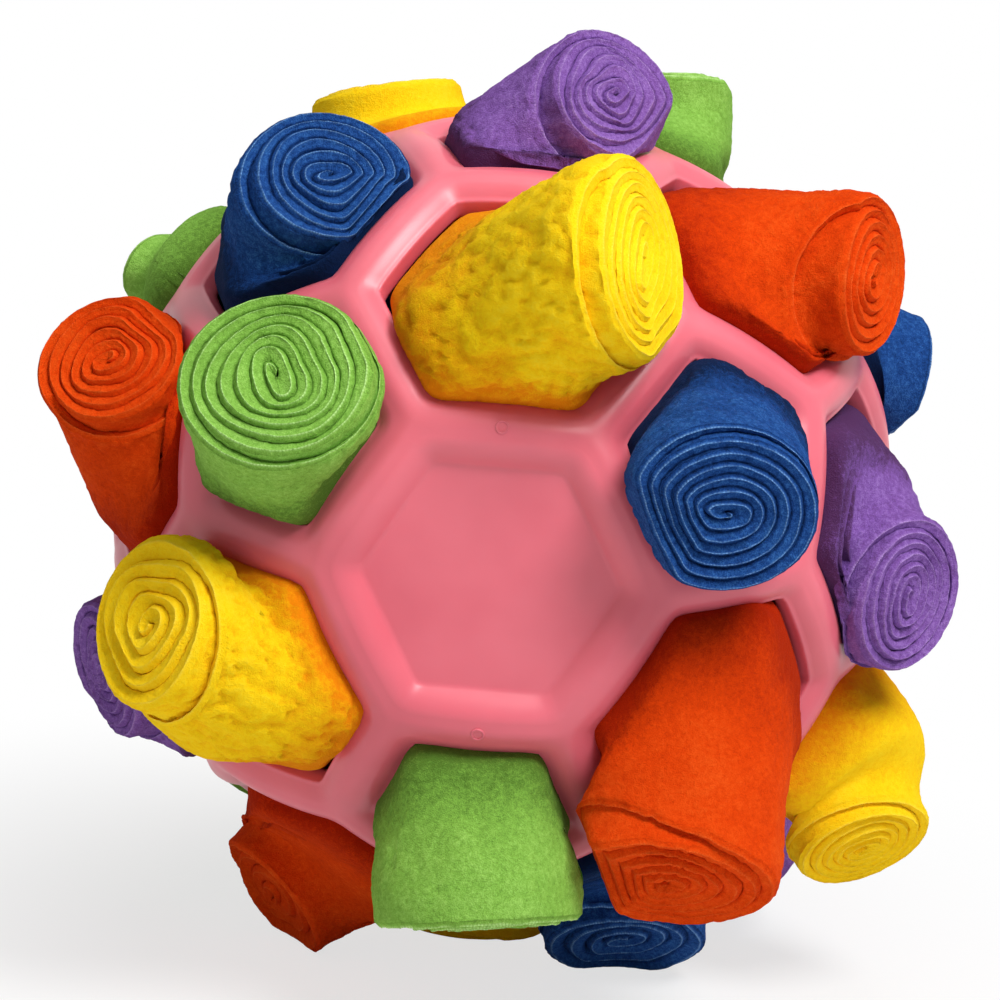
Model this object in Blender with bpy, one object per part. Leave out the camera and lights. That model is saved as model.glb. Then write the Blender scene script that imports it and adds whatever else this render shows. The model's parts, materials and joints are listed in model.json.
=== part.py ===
# Treat ball: a moulded cage with the bars of a football, and a rolled fleece strip in each opening.
# Metres, +Z up. The ball stands on its lowest rolls at z = 0, and its front panel faces -Y.
import math

import bmesh
import bpy
import numpy as np
from mathutils import Matrix, Quaternion, Vector

# Cage
cage_radius = 0.0625
cage_wall = 0.005
bar_width = 0.0096
bar_cuts = 1
edge_rounding = 0.0019
rounding_steps = 2
panel_border = 0.0022
panel_depth = 0.0014
panel_slope_width = 0.0034

# Fleece rolls
standing_height = 0.0745
hexagon_roll_radius = 0.0135
pentagon_roll_radius = 0.0125
roll_reach = 0.014
tail_depth = 0.023
fleece_clearance = 0.0003
resting_gap = 0.0005
neighbour_gap = 0.0004
groove_depth = 0.0026
groove_width = 0.0016
end_dome = 0.0022
end_edge_drop = 0.0014
shoulder_length = 0.0045
collar_height = 0.0016

# Shares of the sizes above
tail_taper_share = 0.82
corner_ease_share = 0.92
shoulder_swell_share = 1.06
first_groove_share = 0.2
last_groove_share = 0.82
rim_height_share = 0.98
waist_swell_share = 1.02
panel_facing_share = 0.99
winding_turns = 2.2

# Angles in degrees
rim_angle = 30
shading_angle = 35

# Finishes
cage_colour = (0.85, 0.19, 0.23)
cage_roughness = 0.32
fleece_roughness = 0.95
fleece_sheen = 0.6
fleece_colours = {
    "yellow": (0.93, 0.62, 0.01),
    "orange": (0.8, 0.06, 0.01),
    "green": (0.2, 0.5, 0.06),
    "blue": (0.012, 0.07, 0.3),
    "purple": (0.22, 0.075, 0.4),
}

# One row a roll: name, then its opening's tilt from the front and turn about it in degrees. The shares
# that follow are the end's reach, its lean to the side and up, the slope of the end's face to the
# side and up, the end's girth, how much wider than tall it is, and the turn of its width in degrees.
roll_shares = [
    ("yellow_top", 42, 90, 0.9, 1.27, -0.26, 1.82, -0.14, 1.1, 1.0, 0),
    ("blue_front_right", 37, 30, 0.93, -0.84, -0.59, -0.5, -0.5, 1.0, 1.15, -10),
    ("orange_lower_right", 42, 330, 0.88, -0.83, -1.24, -0.62, -0.59, 0.95, 1.1, 20),
    ("green_bottom", 37, 270, 0.84, 0.19, -0.56, 0.16, -0.67, 1.19, 1.05, 0),
    ("yellow_lower_left", 42, 210, 0.78, -0.18, 1.16, -0.1, 0.7, 0.9, 0.95, 30),
    ("green_front_left", 37, 150, 0.97, 0.74, 0.4, 0.4, 0.3, 1.09, 1.08, 20),
    ("blue_upper_left", 70.5, 128, 0.33, 1.0, 0.37, 1.49, 0.57, 0.92, 1.2, 75),
    ("purple_top", 79, 90, 0.56, 0.88, -0.36, 0.77, -0.84, 0.95, 1.08, 60),
    ("orange_upper_right", 70.5, 52, 0.67, 0.35, -1.03, -0.01, -0.97, 0.92, 1.0, 0),
    ("purple_right", 70.5, 8, 0.38, -0.52, -0.82, -0.6, -0.2, 0.86, 0.9, 0),
    ("yellow_right", 79, 330, 1.08, -0.12, -0.81, -0.72, -0.36, 0.88, 1.1, 10),
    ("blue_bottom", 70.5, 292, 0.73, 0.51, -0.63, -0.41, 0.11, 0.97, 1.1, 0),
    ("orange_bottom_left", 70.5, 248, 0.73, -1.08, -0.39, -0.05, 0.53, 0.87, 1.05, 30),
    ("orange_left", 70.5, 172, 0.5, 0.7, 1.06, 1.0, 0.72, 0.87, 1.08, 10),
    ("purple_left", 79, 210, 0.46, -0.06, 0.29, 0.4, 0.3, 0.94, 1.0, 0),
    ("blue_far_right", 101, 30, 0.44, -0.0, -0.91, 0.0, -0.9, 0.86, 1.0, 0),
    ("green_far_left", 101, 150, 0.64, -0.38, -0.33, -0.2, -0.4, 0.62, 1.5, 0),
    ("yellow_bottom", 101, 270, 1.1, -0.02, -0.09, 0.0, -0.2, 0.95, 1.1, 0),
    ("green_far_top", 109.5, 68, 0.96, 0.17, 0.41, 0.18, 0.47, 0.7, 1.0, 0),
    ("yellow_far_top", 109.5, 112, 0.65, -0.04, 0.08, 0.07, 0.27, 0.93, 1.0, 0),
    ("green_far_lower_left", 109.5, 232, 0.69, -0.41, 0.18, 0.0, 0.0, 0.98, 1.0, 0),
    ("purple_far_lower_right", 109.5, 308, 1.35, -0.07, -0.25, 0.0, 0.0, 0.98, 1.0, 0),
    ("blue_back_left", 109.5, 188, 0.07, -0.27, -0.42, 0.0, -0.4, 0.85, 1.1, 15),
    ("orange_back_right", 109.5, 352, 0.4, 0.3, -0.2, 0.2, -0.3, 0.85, 1.0, 0),
    ("purple_back_right", 138, 30, 1.0, -0.2, -0.4, 0.2, -0.5, 0.95, 1.1, 20),
    ("orange_back_left", 138, 150, 1.0, 0.3, -0.3, 0.4, -0.3, 0.95, 1.1, -20),
    ("green_back_bottom", 138, 270, 1.0, 0.1, -0.2, 0.1, -0.3, 0.95, 1.1, 0),
    ("blue_back_top", 143, 90, 1.0, 0.2, -0.3, 0.2, -0.4, 0.95, 1.05, 0),
    ("yellow_back_lower_left", 143, 210, 1.05, -0.2, -0.2, -0.3, -0.2, 0.95, 1.05, 0),
    ("purple_back_lower_right", 143, 330, 1.05, 0.2, -0.3, 0.1, -0.4, 0.95, 1.05, 0),
]

# Where a leaning strip leaves part of its opening free: the direction from the opening's middle in
# degrees, and how far the strip still reaches that way as a share of the opening's half width
free_side_shares = {
    "yellow_top": ((126, 0.68), (150, 0.67)),
    "orange_lower_right": ((35, 0.7),),
    "yellow_lower_left": ((282, 0.75),),
    "blue_upper_left": ((242, 0.68),),
    "purple_top": ((170, 0.93),),
    "orange_upper_right": ((87, 0.69),),
    "purple_right": ((86, 0.74), (74, 0.58), (61, 0.67)),
    "blue_bottom": ((222, 0.59),),
    "orange_bottom_left": ((131, 0.83),),
    "orange_left": ((262, 0.88), (273, 0.67)),
}

hexagon_sides = 6


def clear_scene():
    for old in list(bpy.data.objects):
        bpy.data.objects.remove(old, do_unlink=True)


def new_collection(name):
    group = bpy.data.collections.new(name)
    bpy.context.scene.collection.children.link(group)
    return group


def new_object(name, bm, group, parent):
    mesh = bpy.data.meshes.new(name)
    bm.to_mesh(mesh)
    bm.free()
    mesh.shade_smooth()
    mesh.set_sharp_from_angle(angle=math.radians(shading_angle))
    made = bpy.data.objects.new(name, mesh)
    made.parent = parent
    group.objects.link(made)
    return made


def material(name, colour, roughness, sheen=0.0):
    finish = bpy.data.materials.new(name)
    finish.use_nodes = True
    shader = finish.node_tree.nodes["Principled BSDF"]
    shader.inputs["Base Color"].default_value = (*colour, 1.0)
    shader.inputs["Roughness"].default_value = roughness
    shader.inputs["Sheen Weight"].default_value = sheen
    return finish


def unit(vector):
    vector = np.array(vector, dtype=float)
    return vector / np.linalg.norm(vector)


def turned_to(direction, onto, vectors):
    """The vectors after the least turn that brings one direction onto another."""
    turn = Vector(direction).rotation_difference(Vector(onto)).to_matrix()
    return vectors @ np.array(turn).T


def lattice():
    """A truncated icosahedron whose front hexagon faces -Y, with a hexagon above it."""
    bm = bmesh.new()
    bmesh.ops.create_icosphere(bm, subdivisions=1, radius=1.0)
    third_percent = 100.0 / 3.0
    bmesh.ops.bevel(
        bm,
        geom=bm.verts[:],
        offset=third_percent,
        offset_type="PERCENT",
        affect="VERTICES",
        segments=1,
    )
    corner_radius = max(v.co.length for v in bm.verts)
    bmesh.ops.scale(bm, vec=Vector((1, 1, 1)) * (cage_radius / corner_radius), verts=bm.verts)
    bm.normal_update()
    hexagons = [f for f in bm.faces if len(f.verts) == hexagon_sides]
    front = hexagons[0]
    to_front = front.normal.rotation_difference(Vector((0, -1, 0)))
    bmesh.ops.rotate(bm, cent=(0, 0, 0), matrix=to_front.to_matrix(), verts=bm.verts)
    neighbours = {f for e in front.edges for f in e.link_faces}
    above = max(
        (f for f in neighbours if f is not front and len(f.verts) == hexagon_sides),
        key=lambda f: f.calc_center_median().z,
    ).calc_center_median()
    to_top = Quaternion((0, 1, 0), -math.atan2(above.x, above.z))
    bmesh.ops.rotate(bm, cent=(0, 0, 0), matrix=to_top.to_matrix(), verts=bm.verts)
    bm.normal_update()
    return bm


def openings():
    """Each face of the lattice: its axis, its corner count, its flat's distance, a corner's direction."""
    bm = lattice()
    found = []
    for face in bm.faces:
        centre = face.calc_center_median()
        corner = face.verts[0].co - centre
        found.append(
            {
                "axis": unit(centre),
                "sides": len(face.verts),
                "flat": centre.length,
                "corner": unit(corner),
                "apothem": corner.length * math.cos(math.pi / len(face.verts)),
            }
        )
    bm.free()
    return found


def nearest_opening(tilt, turn, faces):
    tilt, turn = math.radians(tilt), math.radians(turn)
    towards = np.array((math.sin(tilt) * math.cos(turn), -math.cos(tilt), math.sin(tilt) * math.sin(turn)))
    return max(faces, key=lambda face: float(face["axis"] @ towards))


def add_inner_wall(bm):
    """Doubles the open surface towards the centre and closes every opening between the two."""
    rims = [e for e in bm.edges if e.is_boundary]
    made = bmesh.ops.duplicate(bm, geom=bm.verts[:] + bm.edges[:] + bm.faces[:])
    twin = made["vert_map"]
    inner_verts = [v for v in made["geom"] if isinstance(v, bmesh.types.BMVert)]
    inner_share = (cage_radius - cage_wall) / cage_radius
    bmesh.ops.scale(bm, vec=Vector((1, 1, 1)) * inner_share, verts=inner_verts)
    for edge in rims:
        first, second = edge.verts
        bm.faces.new((first, second, twin[second], twin[first]))
    bmesh.ops.recalc_face_normals(bm, faces=bm.faces[:])


def sink_panels(bm):
    """The front and back hexagons stay closed, each a flat floor below a sloping border."""
    panels = [f for f in bm.faces if len(f.verts) == hexagon_sides * (bar_cuts + 1)]
    bmesh.ops.inset_individual(bm, faces=panels, thickness=panel_slope_width, use_even_offset=True)
    for panel in panels:
        rim_distance = min(abs(v.co.y) for v in panel.verts)
        for vert in panel.verts:
            vert.co.y = math.copysign(rim_distance - panel_depth, vert.co.y)


def build_cage(group, centre):
    bm = lattice()
    lattice_verts = set(bm.verts)
    panels = [f for f in bm.faces if abs(f.normal.y) > panel_facing_share]
    open_faces = [f for f in bm.faces if f not in panels]
    bmesh.ops.inset_individual(bm, faces=open_faces, thickness=bar_width / 2, use_even_offset=True)
    bmesh.ops.inset_individual(bm, faces=panels, thickness=panel_border, use_even_offset=True)
    bmesh.ops.delete(bm, geom=open_faces, context="FACES_KEEP_BOUNDARY")
    bars = [e for e in bm.edges if (e.verts[0] in lattice_verts) == (e.verts[1] in lattice_verts)]
    bmesh.ops.subdivide_edges(bm, edges=bars, cuts=bar_cuts, use_grid_fill=True)
    for vert in bm.verts:
        vert.co = vert.co.normalized() * cage_radius
    sink_panels(bm)
    add_inner_wall(bm)
    bm.normal_update()
    rims = [
        e
        for e in bm.edges
        if min(v.co.length for v in e.verts) > cage_radius * rim_height_share
        and e.calc_face_angle() > math.radians(rim_angle)
    ]
    bmesh.ops.bevel(
        bm,
        geom=rims,
        offset=edge_rounding,
        segments=rounding_steps,
        profile=0.5,
        affect="EDGES",
    )
    cage = new_object("ball_cage", bm, group, centre)
    cage.data.materials.append(material("cage_pink", cage_colour, cage_roughness))


class Roll:
    """A strip in its opening, in a frame on the ball's surface whose rows point aside, up and out."""

    def __init__(self, row, faces):
        self.name, tilt, turn, reach, *lean_and_slope, girth, width, width_turn = row
        lean_side, lean_up, slope_side, slope_up = lean_and_slope
        self.opening = nearest_opening(tilt, turn, faces)
        self.sides = self.opening["sides"]
        axis = self.opening["axis"]
        side = unit(np.cross((0, 0, 1), axis))
        self.basis = np.array((side, np.cross(axis, side), axis))
        self.origin = axis * cage_radius
        radius = hexagon_roll_radius if self.sides == hexagon_sides else pentagon_roll_radius
        self.half_groove_share = groove_width / 2 / radius

        self.count = 2 * self.sides
        corner = self.basis @ self.opening["corner"]
        self.corner_angle = math.atan2(corner[1], corner[0])
        angles = self.corner_angle + np.arange(self.count) * math.pi / self.sides
        self.around = np.column_stack([np.cos(angles), np.sin(angles), np.zeros(self.count)])

        self.end = np.array((lean_side * radius, lean_up * radius, reach * roll_reach))
        self.facing = unit((slope_side, slope_up, 1.0))
        turned = angles - math.radians(width_turn)
        wide = radius * girth * math.sqrt(width)
        tall = radius * girth / math.sqrt(width)
        size = wide * tall / np.hypot(tall * np.cos(turned), wide * np.sin(turned))
        self.outline = self.around * size[:, None]

    def hole_ring(self, height, taper_share):
        """The opening's outline at a distance from the ball's centre, less the clearance."""
        flat = (self.opening["apothem"] - bar_width / 2) * height / self.opening["flat"]
        corner_share = corner_ease_share / math.cos(math.pi / self.sides)
        size = np.where(np.arange(self.count) % 2 == 0, corner_share, 1.0)
        ring = self.around * ((flat - fleece_clearance) * taper_share * size)[:, None]
        ring[:, 2] = height - cage_radius
        return ring

    def end_ring(self, share, drop):
        """The end's outline at a share of its size, some way back from its face."""
        return self.end + turned_to((0, 0, 1), self.facing, self.outline * share) - self.facing * drop

    def collar_ring(self):
        """The outline just outside the opening, short of the sides that the strip leaves free."""
        ring = self.hole_ring(cage_radius + collar_height, 1.0)
        half_width = np.linalg.norm(ring[:, :2], axis=1).min()
        for direction, share in free_side_shares.get(self.name, ()):
            direction = math.radians(direction)
            reach = ring[:, 0] * math.cos(direction) + ring[:, 1] * math.sin(direction)
            ring[:, :2] *= np.where(reach > half_width * share, half_width * share / reach, 1.0)[:, None]
        return ring

    def waist_ring(self):
        """Halfway from the collar to the shoulder, a little swollen."""
        ring = (self.collar_ring() + self.end_ring(shoulder_swell_share, shoulder_length)) / 2
        middle = ring.mean(axis=0)
        return middle + (ring - middle) * waist_swell_share

    def kept_in_space(self, points):
        """Points past the opening's edge stay above the bars, and none passes halfway to a neighbour."""
        opening = self.opening
        tiny = np.finfo(float).tiny
        height = points[:, 2] + cage_radius
        sideways = points[:, :2]
        sector = 2 * math.pi / self.sides
        angle = np.arctan2(sideways[:, 1], sideways[:, 0]) - self.corner_angle
        spread = np.linalg.norm(sideways, axis=1) * np.cos(angle % sector - sector / 2)
        cell = opening["apothem"] / opening["flat"] * height - neighbour_gap
        squeeze = np.minimum(1.0, cell / np.maximum(spread, tiny))
        sideways = sideways * squeeze[:, None]
        hole = (opening["apothem"] - bar_width / 2) / opening["flat"] * height
        radius = np.hypot(height, np.linalg.norm(sideways, axis=1))
        sunk = np.maximum(0.0, cage_radius + resting_gap - radius)
        past_edge = spread * squeeze > hole - resting_gap
        lift = np.where(past_edge, sunk * radius / height, 0.0)
        return np.column_stack([sideways, points[:, 2] + lift])

    def settled(self, points):
        """Points kept in the roll's space and above the surface that the ball stands on."""
        world = self.kept_in_space(points) @ self.basis + self.origin
        world[:, 2] = np.maximum(world[:, 2], -standing_height)
        return (world - self.origin) @ self.basis.T

    def body_rings(self):
        flat_share = self.opening["flat"] / cage_radius
        inner_height = flat_share * (cage_radius - cage_wall) - edge_rounding
        return [
            self.hole_ring(inner_height - tail_depth, tail_taper_share),
            self.hole_ring(inner_height, 1.0),
            self.settled(self.collar_ring()),
            self.settled(self.waist_ring()),
            self.settled(self.end_ring(shoulder_swell_share, shoulder_length)),
            self.settled(self.end_ring(1.0, end_edge_drop)),
        ]

    def groove_lines(self):
        """The groove winds as one spiral: its inner lip, foot and outer lip step outwards together."""
        steps = int(winding_turns * self.count)
        along = np.arange(steps + 1)
        share = first_groove_share + (last_groove_share - first_groove_share) * along / steps

        def line(shares, depth):
            dome = end_dome * (1 - shares**2)
            ring = turned_to((0, 0, 1), self.facing, self.outline[along % self.count] * shares[:, None])
            return self.settled(self.end + ring + self.facing * (dome - depth)[:, None])

        inner_lip = line(share - self.half_groove_share, 0.0)
        foot = line(share, groove_depth)
        outer_lip = line(share + self.half_groove_share, 0.0)
        return inner_lip, foot, outer_lip

    def placement(self):
        placed = Matrix.Identity(4)
        for row in range(3):
            placed[row][3] = self.origin[row]
            for column in range(3):
                placed[row][column] = self.basis[column][row]
        return placed


def wall_polygons(count, ring_total):
    """Quads from each ring to the next, and a cap on the first."""
    polygons = [tuple(reversed(range(count)))]
    for low in range(0, count * (ring_total - 1), count):
        for i in range(count):
            j = (i + 1) % count
            polygons.append((low + i, low + j, low + count + j, low + count + i))
    return polygons


def end_polygons(count, steps, rim, first):
    """The grooved end: the groove's two sides, the ridge between its turns, its last step and the tip."""
    inner, foot, outer = (first + (steps + 1) * line for line in range(3))
    tip = first + 3 * (steps + 1)
    polygons = []
    for i in range(steps):
        polygons.append((inner + i, foot + i, foot + i + 1, inner + i + 1))
        polygons.append((foot + i, outer + i, outer + i + 1, foot + i + 1))
        if i + count < steps:
            polygons.append((outer + i, inner + i + count, inner + i + 1 + count, outer + i + 1))
        elif i + count > steps:
            polygons.append((outer + i, rim + i % count, rim + (i + 1) % count, outer + i + 1))
    last = steps - count
    rim_before, rim_after = rim + steps % count, rim + (last + 1) % count
    polygons.append((outer + last, inner + steps, rim_before, rim_after, outer + last + 1))
    polygons.append((inner + steps, foot + steps, outer + steps, rim + steps % count))
    for i in range(count - 1):
        polygons.append((tip, inner + i, inner + i + 1))
    polygons.append((tip, inner + count - 1, inner + count, outer))
    polygons.append((tip, outer, foot, inner))
    return polygons


def build_roll(row, faces, group, centre):
    roll = Roll(row, faces)
    rings = roll.body_rings()
    inner_lip, foot, outer_lip = roll.groove_lines()
    tip = roll.settled((roll.end + roll.facing * end_dome)[None, :])
    points = np.vstack([*rings, inner_lip, foot, outer_lip, tip])
    count = roll.count
    groove_start = count * len(rings)
    polygons = wall_polygons(count, len(rings))
    polygons += end_polygons(count, len(foot) - 1, groove_start - count, groove_start)

    bm = bmesh.new()
    verts = [bm.verts.new(point) for point in points]
    for polygon in polygons:
        bm.faces.new([verts[i] for i in polygon])
    bmesh.ops.recalc_face_normals(bm, faces=bm.faces[:])
    made = new_object(roll.name, bm, group, centre)
    made.matrix_local = roll.placement()
    colour = fleece_colours[roll.name.split("_")[0]]
    made.data.materials.append(material(roll.name + "_fleece", colour, fleece_roughness, fleece_sheen))
    return float(np.linalg.norm(outer_lip - inner_lip, axis=1).min())


def main():
    clear_scene()
    group = new_collection("treat_ball")
    centre = bpy.data.objects.new("ball_centre", None)
    centre.location = (0, 0, standing_height)
    group.objects.link(centre)
    build_cage(group, centre)
    faces = openings()
    gaps = [build_roll(row, faces, group, centre) for row in roll_shares]
    print("least gap between a roll's turns, in mm:", round(min(gaps) * 1000, 2))


main()
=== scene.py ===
# Treat ball: a pink moulded cage and thirty wound fleece strips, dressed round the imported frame.
import json
import math

import bmesh
import bpy
import numpy as np
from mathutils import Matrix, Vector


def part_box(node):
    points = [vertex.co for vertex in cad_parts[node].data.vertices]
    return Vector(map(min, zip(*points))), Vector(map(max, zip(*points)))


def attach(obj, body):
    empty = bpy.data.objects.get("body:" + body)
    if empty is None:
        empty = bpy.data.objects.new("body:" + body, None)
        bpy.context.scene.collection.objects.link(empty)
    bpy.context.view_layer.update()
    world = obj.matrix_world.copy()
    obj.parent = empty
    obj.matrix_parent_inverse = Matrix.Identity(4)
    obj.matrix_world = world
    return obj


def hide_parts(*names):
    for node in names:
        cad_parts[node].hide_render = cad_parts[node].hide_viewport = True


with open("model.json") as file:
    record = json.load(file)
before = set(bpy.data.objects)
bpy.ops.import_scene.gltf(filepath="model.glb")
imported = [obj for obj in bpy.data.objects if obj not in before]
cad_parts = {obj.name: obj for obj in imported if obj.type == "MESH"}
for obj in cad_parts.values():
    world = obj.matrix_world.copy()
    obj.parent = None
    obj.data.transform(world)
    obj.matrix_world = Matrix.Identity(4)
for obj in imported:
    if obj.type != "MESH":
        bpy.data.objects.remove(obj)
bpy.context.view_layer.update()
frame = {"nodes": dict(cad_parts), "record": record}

print("frame loaded:", len(frame["nodes"]), "nodes")

# Where the ball is, from the frame
cageLow, cageHigh = (np.array(corner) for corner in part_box("ball_cage"))
ballCentre = (cageLow + cageHigh) / 2
cagePoints = np.array([vertex.co for vertex in frame["nodes"]["ball_cage"].data.vertices])
ballRadius = float(np.linalg.norm(cagePoints - ballCentre, axis=1).max())
panelPlane = abs(frame["record"]["mounts"][0]["pos_m"][1])  # the sunk panel's distance from the centre


# Camera, fitted to the corners of the bars in the photograph

photoView = {
    "azimuth": 1.0,  # degrees
    "elevation": 10.7,
    "roll": 4.6,
    "distance": 0.48,  # metres, to the ball's centre
    "pixelsPerMetre": 6200,  # at the ball's centre
    "centrePixel": (503, 506.5),
    "imageSize": 1000,
}


def outwards(azimuth, elevation):
    # The direction out of the ball at these degrees: 0, 0 is out of the front panel
    turn, rise = math.radians(azimuth), math.radians(elevation)
    return np.array((math.sin(turn) * math.cos(rise), -math.cos(turn) * math.cos(rise), math.sin(rise)))


def standAt(item, right, up, back, distance):
    # Turns an object's X, Y and Z onto three directions and puts it at a distance from the ball's centre
    matrix = np.eye(4)
    matrix[:3, 0], matrix[:3, 1], matrix[:3, 2] = right, up, back
    matrix[:3, 3] = ballCentre + back * distance
    item.matrix_world = matrix.T.tolist()
    bpy.context.scene.collection.objects.link(item)


def makeCamera(view):
    turn, tip = math.radians(view["azimuth"]), math.radians(view["roll"])
    back = outwards(view["azimuth"], view["elevation"])
    level = np.array((math.cos(turn), math.sin(turn), 0.0))
    upright = np.cross(back, level)
    right = level * math.cos(tip) + upright * math.sin(tip)
    up = upright * math.cos(tip) - level * math.sin(tip)
    data = bpy.data.cameras.new("photoCamera")
    data.sensor_width = 36
    data.lens = view["pixelsPerMetre"] * view["distance"] / view["imageSize"] * data.sensor_width
    middle = view["imageSize"] / 2
    data.shift_x = (middle - view["centrePixel"][0]) / view["imageSize"]
    data.shift_y = (view["centrePixel"][1] - middle) / view["imageSize"]
    camera = bpy.data.objects.new("photoCamera", data)
    standAt(camera, right, up, back, view["distance"])
    bpy.context.scene.camera = camera


# Small helpers for numpy surfaces


def unit(vectors):
    vectors = np.asarray(vectors, dtype=float)
    return vectors / np.linalg.norm(vectors, axis=-1, keepdims=True)


def smoothStep(low, high, values):
    share = np.clip((values - low) / (high - low), 0.0, 1.0)
    return share * share * (3 - 2 * share)


def blend(low, high, share):
    return low * (1 - share) + high * share


def gridQuads(rows, columns, aroundRows=False, aroundColumns=False):
    # Quads between neighbours of a grid of points stored row by row
    i = np.arange(rows if aroundRows else rows - 1)
    j = np.arange(columns if aroundColumns else columns - 1)
    i, j = (axis.ravel() for axis in np.meshgrid(i, j, indexing="ij"))
    nextI, nextJ = (i + 1) % rows, (j + 1) % columns
    corners = (i * columns + j, nextI * columns + j, nextI * columns + nextJ, i * columns + nextJ)
    return np.column_stack(corners)


def softNoise(points, grain, seed):
    # A smooth field from -1 to 1: seeded random corners of a lattice, blended at each point
    size = 32
    table = np.random.default_rng(seed).uniform(-1, 1, (size, size, size))
    scaled = points / grain
    low = np.floor(scaled).astype(int)
    part = scaled - low
    part = part * part * (3 - 2 * part)
    total = np.zeros(points.shape[:-1])
    for corner in np.ndindex(2, 2, 2):
        weight = np.prod(np.where(corner, part, 1 - part), axis=-1)
        index = (low + corner) % size
        total += weight * table[index[..., 0], index[..., 1], index[..., 2]]
    return total


def makePiece(name, points, quads, polygons=(), material=None, uv=None, attributes=None):
    loops = np.concatenate([quads.ravel(), *[np.asarray(p) for p in polygons]]).astype(np.int32)
    sizes = np.array([4] * len(quads) + [len(p) for p in polygons])
    starts = np.concatenate([[0], np.cumsum(sizes)[:-1]]).astype(np.int32)
    mesh = bpy.data.meshes.new(name)
    mesh.vertices.add(len(points))
    mesh.vertices.foreach_set("co", np.asarray(points, dtype=np.float32).ravel())
    mesh.loops.add(len(loops))
    mesh.loops.foreach_set("vertex_index", loops)
    mesh.polygons.add(len(sizes))
    mesh.polygons.foreach_set("loop_start", starts)
    mesh.update(calc_edges=True)
    if uv is not None:
        layer = mesh.uv_layers.new(name="UVMap")
        layer.data.foreach_set("uv", np.asarray(uv, dtype=np.float32)[loops].ravel())
    for key, values in (attributes or {}).items():
        mesh.attributes.new(key, "FLOAT", "POINT").data.foreach_set("value", values.astype(np.float32))
    mesh.validate()
    mesh.shade_smooth()
    piece = bpy.data.objects.new(name, mesh)
    bpy.context.scene.collection.objects.link(piece)
    if material:
        mesh.materials.append(material)
    return piece


def facedOutwards(piece, mergeDistance=0.0):
    work = bmesh.new()
    work.from_mesh(piece.data)
    if mergeDistance:
        bmesh.ops.remove_doubles(work, verts=work.verts[:], dist=mergeDistance)
    bmesh.ops.recalc_face_normals(work, faces=work.faces[:])
    work.to_mesh(piece.data)
    work.free()
    piece.data.shade_smooth()


# The football pattern that the bars follow


def ballLattice(radius):
    # An icosahedron's corners become pentagons and its faces hexagons, turned so that a hexagon faces
    # -Y with another hexagon above it
    golden = (1 + math.sqrt(5)) / 2
    corners = []
    for a in (-1, 1):
        for b in (-golden, golden):
            corners += [(0, a, b), (a, b, 0), (b, 0, a)]
    corners = np.array(corners, dtype=float)
    edge = 2.0
    joined = np.abs(np.linalg.norm(corners[:, None] - corners[None], axis=2) - edge) < 1e-6
    triples = [
        (i, j, k)
        for i in range(12)
        for j in range(i + 1, 12)
        for k in range(j + 1, 12)
        if joined[i, j] and joined[j, k] and joined[i, k]
    ]
    front = unit(corners[list(triples[0])].sum(0))
    nearby = next(t for t in triples[1:] if len(set(t) & set(triples[0])) == 2)
    above = unit(corners[list(nearby)].sum(0))
    above = unit(above - front * (above @ front))
    aside = np.cross(front, above)
    turn = -np.outer((0, 1, 0), front) + np.outer((0, 0, 1), above) - np.outer((1, 0, 0), aside)
    corners = corners @ turn.T
    grow = radius / np.linalg.norm(corners[0] * 2 / 3 + corners[np.flatnonzero(joined[0])[0]] / 3)
    faces = []
    for t in triples:
        middle = corners[list(t)].mean(0)
        corner = corners[t[0]] * 2 / 3 + corners[t[1]] / 3 - middle
        faces.append(latticeFace(middle * grow, corner * grow, 6))
    for i in range(12):
        around = np.flatnonzero(joined[i])
        ends = corners[i] * 2 / 3 + corners[around] / 3
        middle = ends.mean(0)
        faces.append(latticeFace(middle * grow, (ends[0] - middle) * grow, 5))
    return faces


def latticeFace(middle, corner, sides):
    axis = unit(middle)
    side = unit(np.cross((0, 0, 1), axis))
    basis = np.array((side, np.cross(axis, side), axis))
    local = basis @ corner
    return {
        "axis": axis,
        "basis": basis,  # rows: to the right as seen from outside, up, and out
        "sides": sides,
        "flat": float(np.linalg.norm(middle)),
        "apothem": float(np.linalg.norm(corner)) * math.cos(math.pi / sides),
        "cornerAngle": math.atan2(local[1], local[0]),
    }


def roundedPolygon(angles, apothem, sides, cornerAngle, cornerRadius):
    # Distance from the middle to a regular polygon whose corners are arcs, in each direction
    half = math.pi / sides
    off = np.abs((angles - cornerAngle) % (2 * half) - half)
    flat = apothem / np.cos(off)
    if cornerRadius <= 0:
        return flat
    arcStart = math.atan2((apothem - cornerRadius) * math.tan(half), apothem)
    reach = (apothem - cornerRadius) / math.cos(half)
    fromCorner = half - off
    inside = np.maximum(cornerRadius**2 - (reach * np.sin(fromCorner)) ** 2, 0.0)
    return np.where(off > arcStart, reach * np.cos(fromCorner) + np.sqrt(inside), flat)


# Moulded cage

cageLook = {
    "wall": 0.005,
    "barWidth": 0.0096,
    "crown": 0.0003,  # how much the middle of a bar stands over its ridges
    "ridge": 0.0016,  # from the middle of the bar to where its side starts to fall
    "sideFall": 0.0017,  # how far the side has fallen where the opening's wall starts
    "sideCurve": 1.5,
    "wallRound": 0.0005,
    "innerRound": 0.0008,
    "holeCorner": 0.0013,
    "ridgeCorner": 0.0035,
    "panelSlopeEnd": 0.0056,
    "panelSlopeCurve": 1.7,
    "panelCorner": 0.0013,
    "stepsPerSide": 16,
}


def barHeight(away, look):
    # Height of a bar's outside, away from its middle: a low crown, then a side that falls as a power
    crown = look["crown"] * (1 - np.minimum(away / look["ridge"], 1.0) ** 2)
    edge = look["barWidth"] / 2 - look["wallRound"]
    share = np.clip((away - look["ridge"]) / (edge - look["ridge"]), 0.0, 1.0)
    return ballRadius + crown - look["sideFall"] * share ** look["sideCurve"]


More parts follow.
